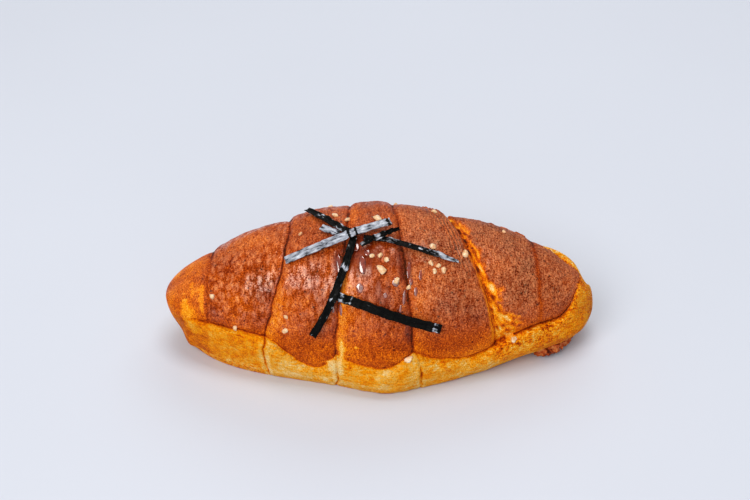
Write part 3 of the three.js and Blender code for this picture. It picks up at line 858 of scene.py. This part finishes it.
# Browned leak: rough lumps strung along a cubic through its path, each standing on the tray
def makeLeak():
    chance = np.random.default_rng(5)
    count = leak["lumps"]
    way = (np.arange(count) + chance.uniform(-0.3, 0.3, count)) / (count - 1)
    third = np.linspace(0, 1, len(leak["path"]))
    line = joined(*(np.polyval(np.polyfit(third, across, 3), way) for across in np.transpose(leak["path"])))
    line = line + chance.uniform(-leak["stray"], leak["stray"], line.shape)
    half = chance.uniform(*leak["half"], count)
    rise = mix(*leak["rise"], np.clip(way, 0, 1)) * half / leak["half"][1]
    centres = np.concatenate([line, rise[:, None] + leak["clearance"]], 1)
    outward = np.tile((0.0, 0, 1), (count, 1))
    halves = joined(half, half, rise) * leak["shape"]
    spin = chance.uniform(0, np.pi, count)
    return makeLumps("leak_crust", leak, 121, centres, outward, spin, halves)


# Number socket of a node; + - * add Math nodes
class Value:
    def __init__(self, shader, socket):
        self.shader = shader
        self.socket = socket

    def math(self, operation, first, second):
        return self.shader.node("Math", {"operation": operation}, {0: first, 1: second})

    def __add__(self, other):
        return self.math("ADD", self, other)

    def __radd__(self, other):
        return self.math("ADD", other, self)

    def __sub__(self, other):
        return self.math("SUBTRACT", self, other)

    def __rsub__(self, other):
        return self.math("SUBTRACT", other, self)

    def __mul__(self, other):
        return self.math("MULTIPLY", self, other)

    def __rmul__(self, other):
        return self.math("MULTIPLY", other, self)


# Linear colour from 0-255 display values
def colour(red, green, blue):
    display = np.array([red, green, blue]) / 255
    linear = np.where(display <= 0.04045, display / 12.92, ((display + 0.055) / 1.055) ** 2.4)
    return (*linear.tolist(), 1)


# Material with its nodes
class Shader:
    def __init__(self, name):
        self.material = bpy.data.materials.new(name)
        self.material.use_nodes = True
        self.tree = self.material.node_tree
        self.tree.nodes.clear()

    # A node by type, with its settings and then its sockets' values or links
    def node(self, kind, settings=None, sockets=None, output=0):
        made = self.tree.nodes.new("ShaderNode" + kind)
        for name, value in (settings or {}).items():
            if name == "stops":
                stops = made.color_ramp.elements
                while len(stops) < len(value):
                    stops.new(1)
                for stop, (position, shade) in zip(stops, value):
                    stop.position = position
                    stop.color = colour(*shade)
            else:
                setattr(made, name, value)
        for name, value in (sockets or {}).items():
            if isinstance(value, Value):
                self.tree.links.new(value.socket, made.inputs[name])
            else:
                made.inputs[name].default_value = value
        return Value(self, made.outputs[output]) if made.outputs else None

    def attribute(self, name):
        return self.node("Attribute", {"attribute_name": name}, output="Fac")

    def place(self):
        return self.node("TexCoord", output="Object")

    # Mesh's own u and v in metres, along and around, stretched
    def flow(self, stretch):
        spot = self.node("UVMap", {"uv_map": "flow"})
        return self.node("VectorMath", {"operation": "MULTIPLY"}, {0: spot, 1: stretch})

    # Noise about zero, -0.5 to 0.5
    def noise(self, spot, scale, detail=3, distortion=0.0):
        sockets = {"Vector": spot, "Scale": scale, "Detail": detail, "Distortion": distortion}
        return self.node("TexNoise", None, sockets) - 0.5

    # Spot moved about by noise, by an amount in metres
    def warp(self, spot, scale, amount):
        drift = self.node("TexNoise", None, {"Vector": spot, "Scale": scale}, "Color")
        sockets = {0: drift, 1: (amount,) * 3, 2: spot}
        return self.node("VectorMath", {"operation": "MULTIPLY_ADD"}, sockets)

    # 0 below low, 1 above high, smooth between
    def step(self, value, low, high):
        sockets = {"Value": value, "From Min": low, "From Max": high}
        return self.node("MapRange", {"interpolation_type": "SMOOTHSTEP"}, sockets)

    # Colour by value, the stops in display colours
    def ramp(self, value, stops):
        return self.node("ValToRGB", {"stops": stops}, {"Fac": value})

    # Colour made lighter or darker
    def scaled(self, shade, amount):
        return self.node("VectorMath", {"operation": "SCALE"}, {0: shade, "Scale": amount})

    def blend(self, share, first, second):
        return self.node("Mix", {"data_type": "RGBA"}, {0: share, 6: first, 7: second}, 2)

    def bump(self, height, distance, strength=1.0):
        return self.node("Bump", None, {"Height": height, "Distance": distance, "Strength": strength})

    def surface(self, sockets):
        body = self.node("BsdfPrincipled", None, sockets)
        self.node("OutputMaterial", None, {"Surface": body})
        return self.material


# Crust: colour by bake plus fine noise, with specks on the foot, pores in the crust and a painted sheen, a
# pale warm colour on its grain that stands in for highlights; skin cells, fibres round the wraps and streaks
# of the foot as bump; a low warm specular, and a coat broken up by the same noise where it is glazed
def crustMaterial():
    shader = Shader("baked_crust")
    names = ("bake", "wet", "gloss", "bloom", "specks", "crust")
    bake, wet, gloss, paintedSheenStrength, specks, crust = (shader.attribute(name) for name in names)
    place = shader.place()
    coarse = shader.noise(place, 260, 4)
    spotty = shader.noise(place, 800, 2)
    fine = shader.noise(place, 1600, 2)
    grit = shader.noise(place, 2700, 1)
    streak = shader.noise(shader.flow((420, 1500, 1)), 1, 3, 0.6)
    fibre = shader.noise(shader.flow((2400, 520, 1)), 1, 2, 0.5)
    cells = {"Vector": place, "Scale": 700}
    spotSize = shader.node("TexVoronoi", None, cells, "Distance")
    spotKind = shader.node("SeparateColor", None, {0: shader.node("TexVoronoi", None, cells, "Color")})
    spot = 1 - shader.step(spotSize, 0.1, 0.4)
    speck = spot * shader.step(spotKind + 0.5 * specks, 0.85, 1.05) * specks
    pore = spot * shader.step(spotKind, 0.75, 0.95) * crust
    net = {"Vector": shader.warp(shader.flow((1, 0.5, 1)), 320, 0.0014), "Scale": 620, "Smoothness": 0.25}
    cell = shader.node("TexVoronoi", {"feature": "SMOOTH_F1"}, net, "Distance")
    skin = (0.15 + 0.8 * gloss) * (cell - 0.34)

    foot = 1 - crust
    dryCrust = crust * (1 - 0.6 * wet)
    onCrust = 0.28 * fine + 0.5 * grit + 0.2 * fibre + 0.2 * skin + 0.25 * pore
    specked = specks * (0.3 * coarse + spotty + 0.4 * grit + 0.25 * speck)
    onFoot = 0.35 * coarse + 0.3 * fine + 0.6 * streak + specked
    tone = bake + 0.05 * coarse + dryCrust * onCrust + foot * onFoot + 0.18 * wet
    grain = dryCrust * (0.9 * grit + 0.5 * fibre) + foot * (0.7 + 0.4 * specks) * grit
    # 1 + 0.12 * specks lightens the foot, most on the rim and low left: painted light, brighter than the
    # lamps leave it
    base = shader.scaled(shader.ramp(tone, crustLook["colours"]), 1 + 0.12 * specks - grain)
    # painted sheen: a pale warm colour blended in on the grain and the middles of the skin cells, standing
    # in for highlights
    pale = shader.step(-0.6 * grit - 0.8 * fine - 0.5 * fibre - 0.2 * coarse - 0.6 * skin, -0.3, 0.4)
    bloom = (0.02 * crust + 0.3 * paintedSheenStrength) * (1 - 0.7 * wet) * pale
    base = shader.blend(bloom, base, colour(*crustLook["paintedSheenColour"]))

    onSkin = 0.1 * fine + 0.06 * fibre - 0.22 * skin - 0.1 * pore
    height = 0.25 * coarse + crust * onSkin + foot * (fine + 0.8 * grit + 0.8 * streak)
    broken = 0.5 * shader.noise(place, 140, 3) - 0.6 * fine - 0.8 * grit - 0.4 * fibre - 0.7 * skin
    sheen = shader.step(broken, -0.3, 0.22)
    return shader.surface({
        "Base Color": base,
        "Roughness": 0.75 - gloss * (0.25 + 0.2 * sheen) - 0.2 * wet + 0.2 * coarse,
        "Coat Weight": 0.85 * gloss * sheen + 0.06 * wet,
        "Coat Roughness": 0.25,
        "Coat IOR": 1.65,
        "Specular IOR Level": 0.25,
        "Specular Tint": (1, 0.5, 0.12, 1),
        "Subsurface Weight": 0.06,
        "Subsurface Radius": (1, 0.4, 0.1),
        "Subsurface Scale": 0.0015,
        "Normal": shader.bump(height * (1 - 0.4 * wet), 0.0006),
    })


# Seaweed: near black with greenish fibres along the shred, and where it shines a painted reflection, pale
# silvery grey laid into its colour, under a coat
def seaweedMaterial():
    shader = Shader("dried_seaweed")
    shine = shader.attribute("shine")
    fibre = shader.noise(shader.flow((420, 1500, 1)), 1, 4, 0.8)
    patch = shader.noise(shader.flow((420, 520, 1)), 1, 3)
    tone = 0.5 + fibre + patch
    dark, silver = shader.ramp(tone, shreds["dark"]), shader.ramp(tone, shreds["silver"])
    # painted reflection where the seaweed shines, with a coat there too
    paintedReflectionAndCoat = shader.step(shine + 1.4 * patch + 1.1 * fibre, 0.36, 0.7)
    return shader.surface({
        "Base Color": shader.blend(paintedReflectionAndCoat, dark, silver),
        "Roughness": 0.45 + 0.3 * patch,
        "Coat Weight": 0.02 + 0.5 * paintedReflectionAndCoat,
        "Coat Roughness": 0.2,
        "Specular IOR Level": 0.06,
        "Normal": shader.bump(fibre + 0.8 * patch, 0.0005),
    })


# Grains: pale, a little toasted, slightly waxy
def grainMaterial():
    shader = Shader("toasted_grain")
    patch = shader.noise(shader.place(), 700, 3)
    fine = shader.noise(shader.place(), 2600, 2)
    return shader.surface({
        "Base Color": shader.ramp(0.5 + 1.4 * patch + 0.4 * fine, grains["colours"]),
        "Roughness": 0.34 + 0.2 * fine,
        "Coat Weight": 0.4 + 0.4 * patch,
        "Coat Roughness": 0.1,
        "Subsurface Weight": 0.25,
        "Subsurface Radius": (1, 0.6, 0.35),
        "Subsurface Scale": 0.0012,
        "Normal": shader.bump(patch + 0.4 * fine, 0.0003, 0.6),
    })


# Leak: reddish brown, lumpy and a little sticky
def leakMaterial():
    shader = Shader("browned_leak")
    patch = shader.noise(shader.place(), 420, 4)
    fine = shader.noise(shader.place(), 1800, 3)
    return shader.surface({
        "Base Color": shader.ramp(0.5 + 2 * patch + 0.8 * fine, leak["colours"]),
        "Roughness": 0.5 + 0.3 * fine,
        "Coat Weight": 0.12 + 0.4 * patch,
        "Coat Roughness": 0.2,
        "Specular IOR Level": 0.1,
        "Normal": shader.bump(patch + 0.5 * fine, 0.001),
    })


# Butter: the crust's colour, darker, under a sharp coat
def butterMaterial():
    shader = Shader("melted_butter")
    patch = shader.noise(shader.place(), 600, 2)
    return shader.surface({
        "Base Color": shader.ramp(0.5 + patch, drops["colours"]),
        "Roughness": 0.12 + 0.1 * patch,
        "Coat Weight": 0.9 + 0.2 * patch,
        "Coat Roughness": 0.05,
        "Coat IOR": 2.2,
        "Normal": shader.bump(patch, 0.0002, 0.3),
    })


floorLook = {"half": 3.0, "tone": (210, 216, 229)}


# Floor: one even sheet, a pale cool grey with the faintest mottling
def makeFloor():
    half = floorLook["half"]
    mesh = bpy.data.meshes.new("floor")
    corners = [(-half, -half, 0), (half, -half, 0), (half, half, 0), (-half, half, 0)]
    mesh.from_pydata(corners, [], [(0, 1, 2, 3)])
    floor = bpy.data.objects.new("floor", mesh)
    scene.collection.objects.link(floor)
    shader = Shader("pale_floor")
    tone = np.array(floorLook["tone"])
    patch = shader.noise(shader.place(), 6, 2)
    base = shader.ramp(0.5 + patch, ((0.3, tone - 2), (0.7, tone)))
    mesh.materials.append(shader.surface({"Base Color": base, "Roughness": 0.8 + 0.1 * patch}))
    return floor


shredNames = [name for name in shreds if name.startswith("nori")]

roll = makeRoll()
print("roll", len(roll.data.polygons))
topping = makeGrains()
butter = makeDrops()
leaked = makeLeak()
print("grains, drops and leak")
ribbons = {name: makeShred(name, seed) for seed, name in enumerate(shredNames, 1)}
print("shreds")

for piece, material in (
    (roll, crustMaterial()),
    (topping, grainMaterial()),
    (butter, butterMaterial()),
    (leaked, leakMaterial()),
):
    piece.data.materials.append(material)
    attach(piece, "root")
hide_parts("bread_roll")
seaweed = seaweedMaterial()
for name, ribbon in ribbons.items():
    ribbon.data.materials.append(seaweed)
    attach(ribbon, "root")
    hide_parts(name)
makeFloor()
print("materials")

lighting = {
    # softboxes: place, aim, width and height in metres, watts, tint
    "key": ((-0.56, -0.8, 0.96), (-0.01, 0, 0.02), 0.7, 0.7, 9.4, (1, 0.97, 0.925)),
    "fill": ((0.1, -1.2, 0.55), (0.02, 0, 0.02), 1.2, 0.9, 3.2, (1, 0.98, 0.95)),
    "top": ((0.08, 0.1, 1.2), (0, 0, 0), 0.7, 0.5, 5.2, (1, 0.99, 0.97)),
    "back": ((0.25, 1.0, 0.9), (0, 0, 0.03), 1.2, 0.6, 4.5, (1, 0.99, 0.98)),
    "world": ((1.0, 0.985, 0.97), 0.31),
}


# Softboxes aimed at the roll, and an even world
def makeLights():
    for name in ("key", "fill", "top", "back"):
        place, aim, width, height, watts, tint = lighting[name]
        lamp = bpy.data.lights.new(name, "AREA")
        lamp.shape = "RECTANGLE"
        lamp.size, lamp.size_y = width, height
        lamp.energy = watts
        lamp.color = tint
        light = bpy.data.objects.new(name, lamp)
        light.location = place
        light.rotation_euler = (Vector(aim) - Vector(place)).to_track_quat("-Z", "Y").to_euler()
        scene.collection.objects.link(light)
    world = bpy.data.worlds.new("studio")
    scene.world = world
    world.use_nodes = True
    tint, strength = lighting["world"]
    world.node_tree.nodes["Background"].inputs["Color"].default_value = (*tint, 1)
    world.node_tree.nodes["Background"].inputs["Strength"].default_value = strength


view = {"elevation": 36.4, "distance": 0.4832, "aim": (-0.00183, 0.00076, 0.03618), "lens": 70}


# Camera in front of the roll, looking down at it
def makeCamera():
    camera = bpy.data.cameras.new("camera")
    camera.lens = view["lens"]
    camera.sensor_width = 36
    rig = bpy.data.objects.new("camera", camera)
    tilt = view["elevation"] * degree
    x, y, z = view["aim"]
    rig.location = (x, y - view["distance"] * np.cos(tilt), z + view["distance"] * np.sin(tilt))
    rig.rotation_euler = (np.pi / 2 - tilt, 0, 0)
    scene.collection.objects.link(rig)
    scene.camera = rig


makeLights()
makeCamera()
scene.view_settings.view_transform = "Standard"
print("lights and camera")
